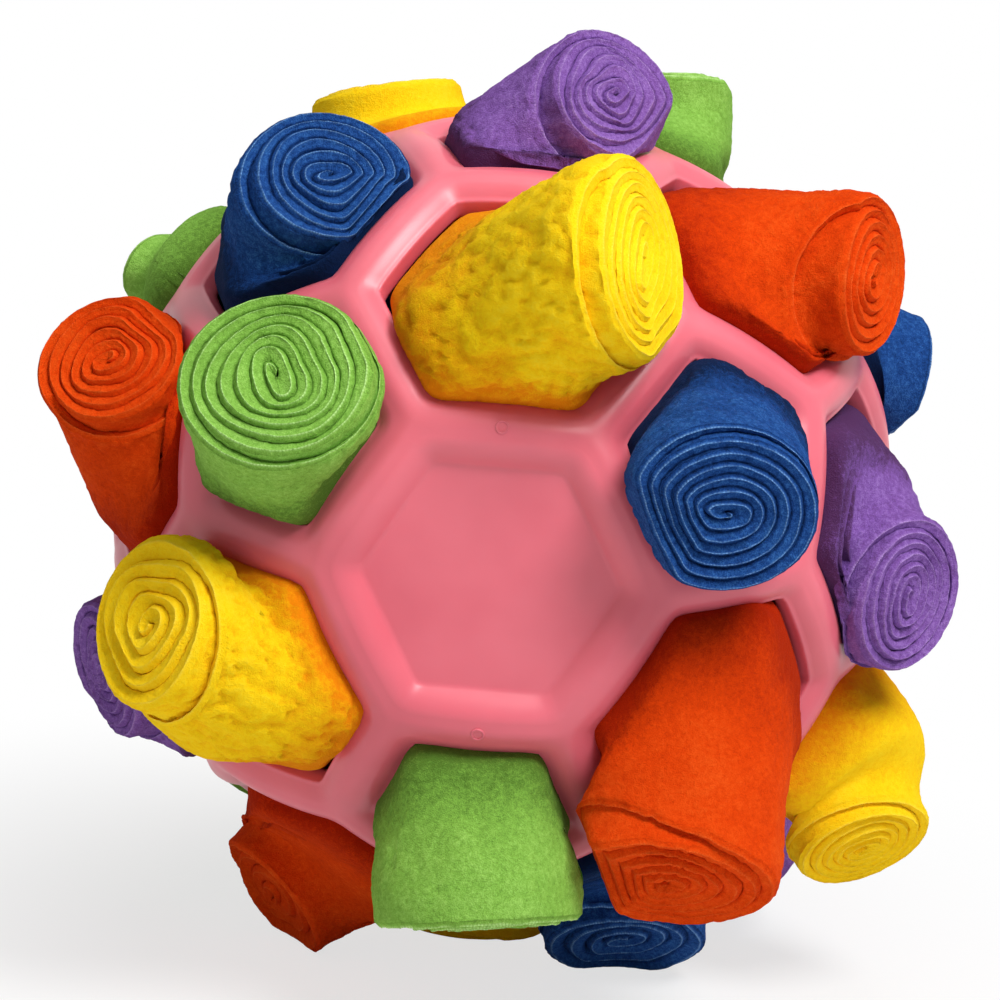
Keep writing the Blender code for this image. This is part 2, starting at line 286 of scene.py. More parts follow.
def sideAngles(face, steps):
    # Directions that divide each straight side of the polygon evenly, so that neighbours meet
    sides = face["sides"]
    turn = face["cornerAngle"] + np.arange(sides + 1) * 2 * math.pi / sides
    reach = 1 / math.cos(math.pi / sides)
    corners = reach * np.column_stack([np.cos(turn), np.sin(turn)])
    share = (np.arange(steps) / steps)[None, :, None]
    points = blend(corners[:-1, None], corners[1:, None], share).reshape(-1, 2)
    return np.arctan2(points[:, 1], points[:, 0])


def openFaceProfile(look):
    # Pairs of distance from the bar's middle and height: over the bar, down the wall and back inside
    half = look["barWidth"] / 2
    low = ballRadius - look["wall"]
    edge = half - look["wallRound"]
    away = np.concatenate([[0.0, 0.4, 0.8], np.linspace(1.0, edge / look["ridge"], 9)]) * look["ridge"]
    bar = np.column_stack([away, barHeight(away, look)])
    bend = np.linspace(0.5, math.pi / 2, 4)
    drop = look["wallRound"] * (1 - np.cos(bend))
    rim = np.column_stack([edge + look["wallRound"] * np.sin(bend), bar[-1, 1] - drop])
    wall = [(half, (bar[-1, 1] + low) / 2)]
    bend = np.linspace(0, math.pi / 2, 4)
    inner = np.column_stack(
        [half - look["innerRound"] * (1 - np.cos(bend)), low + look["innerRound"] * (1 - np.sin(bend))]
    )
    back = [(half / 2, low), (0.0, low + look["crown"])]
    return np.vstack([bar, rim, wall, inner, back])


def ringDirections(face, look, angles, away, toInner, innerCorner):
    # Directions of a line that runs round a face, this far from the bars' middles
    corner = blend(look["ridgeCorner"], innerCorner, toInner)
    corner = corner * min(1.0, away / look["ridge"])  # sharp where the bars' middles meet
    reach = roundedPolygon(angles, face["apothem"] - away, face["sides"], face["cornerAngle"], corner)
    flat = np.full(len(angles), face["flat"])
    return unit(np.column_stack([reach * np.cos(angles), reach * np.sin(angles), flat]))


def openFacePoints(face, look):
    angles = sideAngles(face, look["stepsPerSide"])
    half = look["barWidth"] / 2
    rings = []
    for away, height in openFaceProfile(look):
        toHole = smoothStep(look["ridge"], half, away)
        rings.append(ringDirections(face, look, angles, away, toHole, look["holeCorner"]) * height)
    return np.array(rings) @ face["basis"]


def panelPoints(face, look, inner):
    # The closed hexagon: a border that rolls down to a flat sunk floor
    angles = sideAngles(face, look["stepsPerSide"])
    start, end = look["ridge"], look["panelSlopeEnd"]
    slope = np.linspace(0, 1, 14)
    away = [0.0, start * 0.5] + list(start + (end - start) * slope)
    fall = [0.0, 0.0] + list(slope ** look["panelSlopeCurve"])
    floorReach = (face["apothem"] - end) * np.array([0.97, 0.7, 0.4, 0.15])
    rings = []
    for distance, share in zip(away, fall):
        toFloor = smoothStep(start, end, distance)
        direction = ringDirections(face, look, angles, distance, toFloor, look["panelCorner"])
        crown = look["crown"] * (1 - min(distance / start, 1.0) ** 2)
        floorHeight = panelPlane / direction[:, 2]
        height = blend(ballRadius + crown, floorHeight, share)
        rings.append(direction * height[:, None])
    for apothem in floorReach:
        reach = roundedPolygon(angles, apothem, face["sides"], face["cornerAngle"], look["panelCorner"] * 0.9)
        reach = reach * panelPlane / face["flat"]
        flat = np.full(len(angles), panelPlane)
        rings.append(np.column_stack([reach * np.cos(angles), reach * np.sin(angles), flat]))
    rings = np.array(rings)
    if inner:
        rings = rings - unit(rings) * look["wall"]
    return rings @ face["basis"]


def makeCage(faces, look, material):
    points, quads, polygons, count = [], [], [], 0
    for face in faces:
        isPanel = abs(face["axis"][1]) > 0.99
        shells = [panelPoints(face, look, inner) for inner in (False, True)] if isPanel else None
        for rings in shells or [openFacePoints(face, look)]:
            rows, columns = rings.shape[:2]
            quads.append(gridQuads(rows, columns, aroundColumns=True) + count)
            if isPanel:
                polygons.append(np.arange((rows - 1) * columns, rows * columns) + count)
            points.append(rings.reshape(-1, 3))
            count += rows * columns
    points = np.vstack(points) + ballCentre
    cage = makePiece("moulded_cage", points, np.vstack(quads), polygons, material)
    facedOutwards(cage, mergeDistance=2e-6)
    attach(cage, "cage")
    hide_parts("ball_cage")
    print("cage:", len(cage.data.polygons), "faces")


gateMark = {
    "ringRadius": 0.00085,
    "thickness": 0.00019,
    "sink": 0.00005,
    "tilts": {"upper": 20.9, "lower": -20.9},  # degrees over and under the panel's middle
    "steps": (32, 10),  # round the ring and round its tube
}


def makeGateMarks(look, material):
    # A tiny ring, left by the mould, on the bars over and under the front panel:
    # a circle of radius r carried round a circle of radius R
    for label, tilt in look["tilts"].items():
        out = outwards(0.0, tilt)
        side = np.array((1.0, 0.0, 0.0))
        up = np.cross(out, side)
        steps = [np.linspace(0, 2 * math.pi, count + 1)[:-1] for count in look["steps"]]
        around, tube = np.meshgrid(*steps, indexing="ij")
        reach = look["ringRadius"] + look["thickness"] * np.cos(tube)
        rise = look["thickness"] * np.sin(tube) - look["sink"]
        centre = ballCentre + out * (ballRadius + cageLook["crown"])
        flat = (np.cos(around) * reach)[..., None] * side + (np.sin(around) * reach)[..., None] * up
        points = (centre + flat + rise[..., None] * out).reshape(-1, 3)
        mark = makePiece("gate_mark_" + label, points, gridQuads(*look["steps"], True, True), (), material)
        facedOutwards(mark)
        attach(mark, "cage")


# Wound fleece strips

rollSizes = {
    "hexagonRadius": 0.0135,
    "pentagonRadius": 0.0125,
    "reach": 0.014,
    "tailDepth": 0.023,
    "tailTaper": 0.82,
    "clearance": 0.0003,
    "restingGap": 0.0005,
    "neighbourGap": 0.0004,
    "shoulder": 0.0045,
    "swell": 1.03,
    "mouthCorner": 0.002,
    "mouthDepth": 0.0022,  # below the bars' outside
    "mouthCutShare": 0.45,  # how much of a cut is already taken there
    "collarRise": 0.0006,
    "collarCorner": 0.005,
    "waistBulge": 1.05,
    "bluntness": 12.0,
    "standingHeight": 0.0745,
}

# Opening's tilt from the front and turn about it, then shares: reach, lean, slope, girth, width and its turn
rollPlaces = {
    "yellow_top": (42, 90, 0.9, 1.27, -0.26, 1.82, -0.14, 1.1, 1.0, 0),
    "blue_front_right": (37, 30, 0.93, -0.84, -0.59, -0.5, -0.5, 1.0, 1.15, -10),
    "orange_lower_right": (42, 330, 0.88, -0.83, -1.24, -0.62, -0.59, 0.95, 1.1, 20),
    "green_bottom": (37, 270, 0.84, 0.19, -0.56, 0.16, -0.67, 1.19, 1.05, 0),
    "yellow_lower_left": (42, 210, 0.78, -0.18, 1.16, -0.1, 0.7, 0.9, 0.95, 30),
    "green_front_left": (37, 150, 0.97, 0.74, 0.4, 0.4, 0.3, 1.09, 1.08, 20),
    "blue_upper_left": (70.5, 128, 0.33, 1.0, 0.37, 1.49, 0.57, 0.92, 1.2, 75),
    "purple_top": (79, 90, 0.56, 0.88, -0.36, 0.77, -0.84, 0.95, 1.08, 60),
    "orange_upper_right": (70.5, 52, 0.67, 0.35, -1.03, -0.01, -0.97, 0.92, 1.0, 0),
    "purple_right": (70.5, 8, 0.38, -0.52, -0.82, -0.6, -0.2, 0.86, 0.9, 0),
    "yellow_right": (79, 330, 1.08, -0.12, -0.81, -0.72, -0.36, 0.88, 1.1, 10),
    "blue_bottom": (70.5, 292, 0.73, 0.51, -0.63, -0.41, 0.11, 0.97, 1.1, 0),
    "orange_bottom_left": (70.5, 248, 0.73, -1.08, -0.39, -0.05, 0.53, 0.87, 1.05, 30),
    "orange_left": (70.5, 172, 0.5, 0.7, 1.06, 1.0, 0.72, 0.87, 1.08, 10),
    "purple_left": (79, 210, 0.46, -0.06, 0.29, 0.4, 0.3, 0.94, 1.0, 0),
    "blue_far_right": (101, 30, 0.44, -0.0, -0.91, 0.0, -0.9, 0.86, 1.0, 0),
    "green_far_left": (101, 150, 0.64, -0.38, -0.33, -0.2, -0.4, 0.62, 1.5, 0),
    "yellow_bottom": (101, 270, 1.1, -0.02, -0.09, 0.0, -0.2, 0.95, 1.1, 0),
    "green_far_top": (109.5, 68, 0.96, 0.17, 0.41, 0.18, 0.47, 0.7, 1.0, 0),
    "yellow_far_top": (109.5, 112, 0.65, -0.04, 0.08, 0.07, 0.27, 0.93, 1.0, 0),
    "green_far_lower_left": (109.5, 232, 0.69, -0.41, 0.18, 0.0, 0.0, 0.98, 1.0, 0),
    "purple_far_lower_right": (109.5, 308, 1.35, -0.07, -0.25, 0.0, 0.0, 0.98, 1.0, 0),
    "blue_back_left": (109.5, 188, 0.07, -0.27, -0.42, 0.0, -0.4, 0.85, 1.1, 15),
    "orange_back_right": (109.5, 352, 0.4, 0.3, -0.2, 0.2, -0.3, 0.85, 1.0, 0),
    "purple_back_right": (138, 30, 1.0, -0.2, -0.4, 0.2, -0.5, 0.95, 1.1, 20),
    "orange_back_left": (138, 150, 1.0, 0.3, -0.3, 0.4, -0.3, 0.95, 1.1, -20),
    "green_back_bottom": (138, 270, 1.0, 0.1, -0.2, 0.1, -0.3, 0.95, 1.1, 0),
    "blue_back_top": (143, 90, 1.0, 0.2, -0.3, 0.2, -0.4, 0.95, 1.05, 0),
    "yellow_back_lower_left": (143, 210, 1.05, -0.2, -0.2, -0.3, -0.2, 0.95, 1.05, 0),
    "purple_back_lower_right": (143, 330, 1.05, 0.2, -0.3, 0.1, -0.4, 0.95, 1.05, 0),
}

# How a strip is wound, unless its own row below says otherwise
windingLook = {
    "turns": 6.0,
    "spin": 1,  # 1 winds outwards anticlockwise, seen from outside
    "seamFrom": 200,  # degrees round the roll where the outer edge leaves the end
    "seamSweep": 200,  # how far the last wrap goes on from there
    "seamFall": 0.005,  # metres down the body before the wrap's end is tucked into the opening
    "seamCurve": 0.8,  # under 1 the edge falls early
    "tuckFrom": 0.78,  # share of the sweep where it starts to be tucked in, thin by then
    "tuck": 0.024,
    "dome": 0.001,
    "core": 0.0,
    "fold": 0.0012,  # how far the innermost turns are drawn out
    "foldAngle": 60,
    "loose": 0.02,
    "gaps": 0.08,
    "wavy": 0.05,
    "line": 0.00016,  # height of the thin knit that stands out of the cut edge
    "edgeSwell": 0.0003,  # of the pile beside it
    "edgeRound": 0.00035,
    "telescope": 0.0003,
    "ragged": 0.0001,
    "crumple": 0.0004,
    "clump": 0.003,  # width of the crumpled pads
    "fuzz": 0.00012,
    "cuts": (),  # sides left free: direction in degrees, reach there as a share of the opening's half width
    "nudge": (0.0, 0.0, 0.0),  # of the end, aside, up and out
    "grow": 1.0,
    "stretch": 1.0,  # how much wider the end is
    "roam": 0.0,  # how far it may lean over the middle of a bar
    "waistShift": (0.0, 0.0, 0.0),
    "startShare": 0.04,  # of the radius, where the strip starts in the middle
    "leastShare": 0.003,
    "thinning": 0.97,  # what the last wrap loses of its thickness before it is tucked in
    "lowest": 0.46,  # share of the roll's length, just inside the opening
    "floorGap": 0.0001,
    "step": 0.0006,  # between points along the strip
    "stepsPerTurn": 48,  # or more
    "farStep": 0.001,  # for openings tilted further than this from the front
    "farTilt": 100,
}

# Noise over a strip: how wide its grains are, and how far the broad ones move things, in metres
stripNoise = {
    "ragged": 0.0012,
    "tuft": 0.0007,
    "tuftAcross": 0.0012,
    "sway": 0.004,
    "swayReach": 0.0012,
    "creaseWidth": 0.4,  # of the noise on either side of zero
    "creaseCurve": 1.6,
    "deepCrumple": 0.0007,  # from here on the painted shade in the creases is as dark as it gets
    "soft": 0.007,
    "softReach": 0.0004,
    "fuzz": 0.00062,
}

windings = {
    "yellow_top": {
        "turns": 6.6,
        "seamFrom": 150,
        "seamSweep": 270,
        "seamFall": 0.0045,
        "seamCurve": 0.3,
        "foldAngle": 90,
        "fold": 0.004,
        "edgeRound": 0.0002,
        "edgeSwell": 0.0002,
        "telescope": 0.0001,
        "crumple": 0.0007,
        "clump": 0.0026,
        "cuts": ((126, 0.68), (150, 0.67)),
    },
    "blue_front_right": {
        "turns": 6.8,
        "spin": -1,
        "seamFrom": 160,
        "seamSweep": 240,
        "seamFall": 0.003,
        "foldAngle": 0,
        "fold": 0.002,
        "gaps": 0.12,
        "line": 0.0002,
        "nudge": (-0.0009, -0.0011, 0.0),
        "grow": 1.02,
        "roam": 0.0015,
    },
    "orange_lower_right": {
        "seamFrom": 30,
        "seamSweep": 280,
        "seamFall": 0.028,
        "seamCurve": 1.8,
        "ragged": 0.0003,
        "crumple": 0.0002,
        "gaps": 0.2,
        "cuts": ((35, 0.7),),
        "nudge": (-0.0018, -0.0014, -0.0004),
        "grow": 1.08,
        "stretch": 1.2,
        "roam": 0.003,
    },
    "green_front_left": {
        "turns": 6.6,
        "seamFrom": 190,
        "seamSweep": 320,
        "seamFall": 0.003,
        "foldAngle": 130,
        "fold": 0.003,
        "gaps": 0.2,
        "line": 0.0002,
        "crumple": 0.0003,
        "nudge": (-0.0003, -0.0001, 0.0),
        "grow": 0.99,
        "roam": 0.001,
    },
    "green_bottom": {"crumple": 0.0003, "nudge": (0.0, -0.0008, 0.0011)},
    "yellow_lower_left": {
        "spin": -1,
        "seamFrom": 60,
        "seamSweep": 260,
        "seamFall": 0.008,
        "crumple": 0.0008,
        "turns": 5.0,
        "edgeSwell": 0.0005,
        "clump": 0.0018,
        "cuts": ((282, 0.75),),
        "nudge": (0.0, -0.0006, 0.0005),
        "grow": 1.06,
        "waistShift": (-0.0006, -0.0022, 0.0006),
    },
    "purple_top": {
        "turns": 6.6,
        "seamFrom": 150,
        "seamSweep": 290,
        "seamFall": 0.006,
        "seamCurve": 0.5,
        "cuts": ((170, 0.97),),
        "nudge": (0.001, -0.0001, -0.0004),
        "waistShift": (-0.0016, -0.001, -0.001),
    },
    "blue_upper_left": {
        "turns": 6.4,
        "seamFrom": 180,
        "seamSweep": 320,
        "fold": 0.002,
        "foldAngle": 70,
        "line": 0.0002,
        "cuts": ((242, 0.68),),
    },
    "orange_upper_right": {
        "seamFrom": 112,
        "seamSweep": 290,
        "seamFall": 0.014,
        "seamCurve": 0.6,
        "clump": 0.0022,
        "cuts": ((87, 0.72),),
        "waistShift": (0.0006, -0.0006, 0.0),
        "roam": 0.001,
    },
    "purple_right": {
        "turns": 6.4,
        "seamFrom": 90,
        "seamSweep": 270,
        "fold": 0.002,
        "foldAngle": 90,
        "cuts": ((86, 0.74), (74, 0.58), (61, 0.67)),
        "nudge": (0.0, -0.0007, 0.0004),
    },
    "yellow_right": {
        "seamFrom": 60,
        "seamSweep": 290,
        "crumple": 0.0002,
        "grow": 1.04,
        "nudge": (0.0001, 0.0005, 0.0008),
        "waistShift": (0.0006, 0.0026, 0.0036),
    },
    "blue_bottom": {
        "seamFrom": 60,
        "seamSweep": 270,
        "gaps": 0.5,
        "dome": -0.001,
        "turns": 4.2,
        "cuts": ((222, 0.59),),
    },
    "orange_bottom_left": {
        "seamFrom": 100,
        "seamSweep": 260,
        "dome": -0.002,
        "core": 0.0015,
        "gaps": 0.3,
        "turns": 3.8,
        "crumple": 0.0002,
        "cuts": ((131, 0.83),),
    },
    "orange_left": {
        "seamFrom": 240,
        "seamSweep": 300,
        "seamFall": 0.0055,
        "seamCurve": 0.4,
        "cuts": ((262, 0.95), (273, 0.72)),
    },
    "purple_left": {"nudge": (-0.0002, 0.0008, 0.0005)},
    "green_far_top": {"crumple": 0.0001, "cuts": ((218, 0.57),)},
    "yellow_far_top": {"crumple": 0.0001, "nudge": (0.0008, -0.0003, 0.001)},
    "green_far_left": {"crumple": 0.0001, "waistShift": (0.0001, 0.0016, 0.0023)},
    "blue_back_left": {"nudge": (0.0, 0.0, -0.0025)},
    "purple_back_right": {"seamFrom": 120, "seamSweep": 240, "seamFall": 0.007},
    "orange_back_left": {"spin": -1, "seamFrom": 300, "seamSweep": 230, "foldAngle": 20},
    "green_back_bottom": {"seamFrom": 20, "seamSweep": 250, "foldAngle": 140},
    "blue_back_top": {"spin": -1, "seamFrom": 250, "seamSweep": 220, "gaps": 0.15, "foldAngle": 100},
    "yellow_back_lower_left": {"seamFrom": 80, "seamSweep": 260, "crumple": 0.0006},
    "purple_back_lower_right": {"spin": -1, "seamSweep": 240, "seamFall": 0.009},
}

# Places across the strip: up its outer side, over its cut edge from 1 outside to -1 inside, and down again
columnShares = {
    "outer": np.concatenate([[0.0, 0.22, 0.4], np.linspace(0.5, 1.0, 38)]),
    "edge": np.array(
        [0.97, 0.9, 0.78, 0.64, 0.55, 0.47, 0.41, 0.35, 0.27, 0.1, -0.12, -0.36, -0.6, -0.8, -0.93]
    ),
    "inner": np.array([1.0, 0.985, 0.96, 0.92, 0.85, 0.7, 0.4, 0.0]),
}
waveSizes = [(2, 0.8), (3, 0.45), (4, 0.15), (6, 0.06), (9, 0.03)]  # bends a turn, and their size
knitLine = {"place": 0.44, "width": 0.085}  # across the cut edge, from -1 inside to 1 outside
ringPlaces = np.array([0.0, 0.42, 0.52, 0.57, 0.74, 0.91, 1.0])


def turnedTo(direction, vectors):
    # The vectors after the least turn that brings +Z onto the direction
    axis = np.cross((0, 0, 1), direction)
    sine, cosine = np.linalg.norm(axis), direction[2]
    if sine < 1e-9:
        return vectors
    axis = axis / sine
    along = (vectors @ axis)[..., None] * axis
    return vectors * cosine + np.cross(axis, vectors) * sine + along * (1 - cosine)


def throughRings(places, rings, at):
    # A smooth curve through rings of points: a cubic with finite-difference slopes
    rings = np.asarray(rings)
    slopes = np.gradient(rings, places, axis=0)
    cell = np.clip(np.searchsorted(places, at, side="right") - 1, 0, len(places) - 2)
    width = places[cell + 1] - places[cell]
    share = (at - places[cell]) / width
    shape = (-1,) + (1,) * (rings.ndim - 1)
    share, width = share.reshape(shape), width.reshape(shape)
    start, end = rings[cell], rings[cell + 1]
    slopeStart, slopeEnd = slopes[cell] * width, slopes[cell + 1] * width
    return (
        start * (2 * share**3 - 3 * share**2 + 1)
        + end * (3 * share**2 - 2 * share**3)
        + slopeStart * (share**3 - 2 * share**2 + share)
        + slopeEnd * (share**3 - share**2)
    )


def keptInSpace(points, face, sizes, roam):
    # Points past the hole's edge stay above the bars, and none goes further over a bar's middle than roam
    height = points[..., 2] + ballRadius
    sideways = points[..., :2]
    half = math.pi / face["sides"]
    angle = np.arctan2(sideways[..., 1], sideways[..., 0]) - face["cornerAngle"]
    spread = np.linalg.norm(sideways, axis=-1) * np.cos(angle % (2 * half) - half)
    cell = face["apothem"] / face["flat"] * height - sizes["neighbourGap"]
    squeeze = np.minimum(1.0, (cell + roam) / np.maximum(spread, 1e-9))
    sideways = sideways * squeeze[..., None]
    hole = (face["apothem"] - cageLook["barWidth"] / 2) / face["flat"] * height
    radius = np.sqrt(height**2 + (sideways**2).sum(-1))
    away = np.abs(cell - spread * squeeze) * face["flat"] / height
    sunk = np.maximum(0.0, barHeight(away, cageLook) + sizes["restingGap"] - radius)
    lift = np.where(spread * squeeze > hole - sizes["restingGap"], sunk * radius / height, 0.0)
    kept = np.concatenate([sideways, (points[..., 2] + lift)[..., None]], axis=-1)
    world = kept @ face["basis"] + face["axis"] * ballRadius
    world[..., 2] = np.maximum(world[..., 2], -sizes["standingHeight"])
    return (world - face["axis"] * ballRadius) @ face["basis"].T


def rollEnvelope(face, place, look, sizes, columns=144, rows=64):
    # The outline of the whole roll from its tail to its end face, with the middle of each ring
    reach, leanSide, leanUp, slopeSide, slopeUp, girth, width, widthTurn = place
    girth, width = girth * look["grow"], width * look["stretch"]
    radius = sizes["hexagonRadius"] if face["sides"] == 6 else sizes["pentagonRadius"]
    angles = np.arange(columns) * 2 * math.pi / columns
    around = np.column_stack([np.cos(angles), np.sin(angles), np.zeros(columns)])
    turned = angles - math.radians(widthTurn)
    wide, tall = radius * girth * math.sqrt(width), radius * girth / math.sqrt(width)
    ovalSize = wide * tall / np.hypot(tall * np.cos(turned), wide * np.sin(turned))
    end = np.array((leanSide * radius, leanUp * radius, reach * sizes["reach"])) + np.array(look["nudge"])
    facing = unit((slopeSide, slopeUp, 1.0))

    def holeRing(height, corner, share=1.0, cuts=()):
        # The opening's outline, held back by each cut as by a blunted straight edge
        flat = (face["apothem"] - cageLook["barWidth"] / 2) * height / face["flat"] - sizes["clearance"]
        blunt = sizes["bluntness"]
        size = roundedPolygon(angles, flat * share, face["sides"], face["cornerAngle"], corner) ** -blunt
        for direction, reachShare in cuts:
            facingCut = np.maximum(np.cos(angles - math.radians(direction)), 0.0)
            size = size + (facingCut / (flat * reachShare)) ** blunt
        return around * (size ** (-1 / blunt))[:, None] + (0, 0, height - ballRadius)

    def onBall(ring, rise):
        # The ring moved in or out to a sphere round the ball's centre
        ring[:, 2] = np.sqrt((ballRadius + rise) ** 2 - (ring[:, :2] ** 2).sum(1)) - ballRadius
        return ring

    def rounder(ring, reach=12):
        return np.mean([np.roll(ring, step, axis=0) for step in range(-reach, reach + 1)], axis=0)

    mouth = ballRadius - cageLook["sideFall"]
    innerRim = face["flat"] / ballRadius * (ballRadius - cageLook["wall"]) - cageLook["innerRound"] * 2
    collar = ballRadius + sizes["collarRise"]
    shoulder = end - facing * sizes["shoulder"]
    corner = cageLook["holeCorner"] + sizes["mouthCorner"]
    collarRing = onBall(holeRing(collar, sizes["collarCorner"], 1.0, look["cuts"]), sizes["collarRise"])
    mouthRing = holeRing(mouth, corner)
    mouthRing = onBall(mouthRing + (collarRing - mouthRing) * sizes["mouthCutShare"], -sizes["mouthDepth"])
    shoulderRing = shoulder + turnedTo(facing, around * (ovalSize * sizes["swell"])[:, None])
    waist = (collarRing.mean(0) + shoulder) / 2 + np.array(look["waistShift"])
    waistSize = rounder((collarRing - collarRing.mean(0) + shoulderRing - shoulder) / 2)
    rings = np.array(
        [
            holeRing(innerRim - sizes["tailDepth"], corner, sizes["tailTaper"]),
            holeRing(innerRim, corner),
            mouthRing,
            collarRing,
            waist + waistSize * sizes["waistBulge"],
            shoulderRing,
            end + turnedTo(facing, around * ovalSize[:, None]),
        ]
    )
    centres = rings.mean(1)
    at = np.linspace(0, 1, rows)
    outline = throughRings(ringPlaces, rings, at)
    middle = throughRings(ringPlaces, centres, at)
    past = at > ringPlaces[2] + 0.01
    for _ in range(3):
        outline[past] = keptInSpace(outline[past], face, sizes, look["roam"])
        smooth = (np.roll(outline, 1, axis=1) + np.roll(outline, -1, axis=1)) / 2
        outline[past] = (outline[past] + smooth[past]) / 2
        inner = past.copy()
        inner[-1] = False
        smooth = (np.roll(outline, 1, axis=0) + np.roll(outline, -1, axis=0)) / 2
        outline[inner] = (outline[inner] * 2 + smooth[inner]) / 3
    return {"outline": outline, "middle": middle, "facing": facing, "radius": radius * girth}


def envelopePoint(envelope, along, angle, share):
    # A point at a share of the way from the roll's middle to its outline
    outline, middle = envelope["outline"], envelope["middle"]
    rows, columns = outline.shape[:2]
    row = np.clip(along, 0, 1) * (rows - 1)
    column = (angle / (2 * math.pi) * columns) % columns
    row0, column0 = np.minimum(row.astype(int), rows - 2), column.astype(int) % columns
    rowPart, columnPart = (row - row0)[..., None], (column - np.floor(column))[..., None]
    column1 = (column0 + 1) % columns
    low = blend(outline[row0, column0], outline[row0, column1], columnPart)
    high = blend(outline[row0 + 1, column0], outline[row0 + 1, column1], columnPart)
    edge = blend(low, high, rowPart)
    centre = blend(middle[row0], middle[row0 + 1], rowPart)
    return centre + (edge - centre) * share[..., None]


def inWorld(points, face):
    # From a face's own directions and its place on the ball's outside
    return points @ face["basis"] + face["axis"] * ballRadius + ballCentre


def woundStrip(name, face, place, look, sizes, material, seed):
    # A strip of fleece as one closed surface. Along the strip the angle t grows, and the side that faces
    # outwards lies at the share b(t) = start + pitch t / 2 pi + waves of the roll's radius, the side that
    # faces inwards at b(t - 2 pi) + a gap. Shares are divided by the outermost one at each angle, so that
    # the whole roll keeps a round outline. Across the strip run the outer side, the cut edge, the inner side
    envelope = rollEnvelope(face, place, look, sizes)
    radius, facing = envelope["radius"], envelope["facing"]
    turn = 2 * math.pi
    pitch = 1 / look["turns"]
    startShare = look["startShare"]
    seam = (1 - startShare) / pitch * turn
    sweep = math.radians(look["seamSweep"])
    turnAngle = [0.0]
    while turnAngle[-1] < seam + sweep:
        share = startShare + pitch * turnAngle[-1] / turn
        turnAngle.append(turnAngle[-1] + min(turn / look["stepsPerTurn"], look["step"] / (share * radius)))
    t = np.array(turnAngle)
    rng = np.random.default_rng(seed)
    waves = [(size * rng.normal(), k + rng.uniform(-0.2, 0.2), rng.uniform(0, turn)) for k, size in waveSizes]

    def boundary(at):
        plain = startShare + pitch * at / turn
        wave = sum(size * np.sin(at * k + phase) for size, k, phase in waves)
        size = smoothStep(0.1, 0.45, plain) * (1 - smoothStep(0.7, 0.95, plain))
        return plain + look["wavy"] * wave * size

    swept = np.clip((t - seam) / sweep, 0, 1)
    ending = smoothStep(0.0, look["tuckFrom"] + 0.05, swept)
    gapNoise = softNoise(np.column_stack([t * 0.8, t * 0 + 0.5, t * 0]), 1.0, seed + 5)
    loose = (look["loose"] + look["gaps"] * np.maximum(0, gapNoise) ** 1.5) * (1 - ending)
    innerShare = np.maximum(boundary(t - turn) + pitch * loose, look["leastShare"])
    outerShare = innerShare + (boundary(t) - innerShare) * (1 - look["thinning"] * ending)
    outermost = np.interp(t + turn * np.floor((t[-1] - t) / turn), t, outerShare)
    angle = math.radians(look["seamFrom"]) + look["spin"] * (t - seam)

    lastRow = len(envelope["middle"]) - 1
    collarRow = round(ringPlaces[3] * lastRow)
    aboveCollar = np.linalg.norm(np.diff(envelope["middle"][collarRow:], axis=0), axis=1).sum()
    bodyLength = aboveCollar / ((lastRow - collarRow) / lastRow)
    calm = smoothStep(0.1, 0.6, t / seam)
    rise = (np.sin(t * 0.83 + waves[0][2]) + 0.6 * np.sin(t * 1.7 + waves[1][2])) / 1.6 * calm
    ragged = softNoise(np.column_stack([t * radius, t * 0, t * 0]), stripNoise["ragged"], seed + 1)
    fall = look["seamFall"] * swept ** look["seamCurve"]
    fall = fall + look["tuck"] * smoothStep(look["tuckFrom"], 1, swept)
    fall = fall + look["telescope"] * (1 + rise) + look["ragged"] * (1 + ragged)
    top = np.clip(1 - fall / bodyLength, look["lowest"], 1.0)

    roundLength = look["edgeRound"] / bodyLength
    outer, edge, inner = (columnShares[key] for key in ("outer", "edge", "inner"))
    low = top - roundLength
    along = np.column_stack(
        [low[:, None] * outer, np.repeat(low[:, None], len(edge), axis=1), low[:, None] * inner]
    )
    across = np.concatenate([np.ones(len(outer)), edge, -np.ones(len(inner))])
    share = innerShare[:, None] + (outerShare - innerShare)[:, None] * (across + 1) / 2
    share = share / outermost[:, None]
    angles = np.repeat(angle[:, None], along.shape[1], axis=1)
    foldAngle = math.radians(look["foldAngle"])
    nearEnd = smoothStep(0.6, 0.95, along)

    def placed(at):
        inside = np.clip(1 - share, 0, 1)
        points = envelopePoint(envelope, at, angles, share)
        pull = np.tanh(1.6 * np.cos(angles - foldAngle)) * smoothStep(0, 0.12, share)
        line = turnedTo(facing, np.array((math.cos(foldAngle), math.sin(foldAngle), 0.0)))
        height = look["dome"] * (1 - share**2) + look["core"] * np.exp(-((share / 0.4) ** 2))
        raised = height * smoothStep(0.75, 1.0, at)
        drawn = look["fold"] * inside**1.5 * pull * nearEnd
        return points + drawn[..., None] * line + raised[..., None] * facing

    points = placed(along)
    tangent = unit(points - placed(along - 0.02) + 1e-9)
    onEdge = np.abs(across) < 1
    bright = np.exp(-(((across - knitLine["place"]) / knitLine["width"]) ** 2)) * onEdge
    arc = t[:, None] * share * radius
    tuftPlaces = np.stack([arc, across * stripNoise["tuftAcross"] + arc * 0, along * 0], -1)
    tuft = softNoise(tuftPlaces, stripNoise["tuft"], seed + 6)
    edgeProfile = look["edgeRound"] * (1 - np.abs(across) ** 3) * (1 + 0.3 * tuft)
    edgeProfile = edgeProfile + look["edgeSwell"] * np.exp(-(((across - 0.35) / 0.4) ** 2))
    edgeProfile = (edgeProfile + look["line"] * bright * (1 + 0.5 * ragged[:, None])) * onEdge
    points = points + tangent * edgeProfile[..., None]

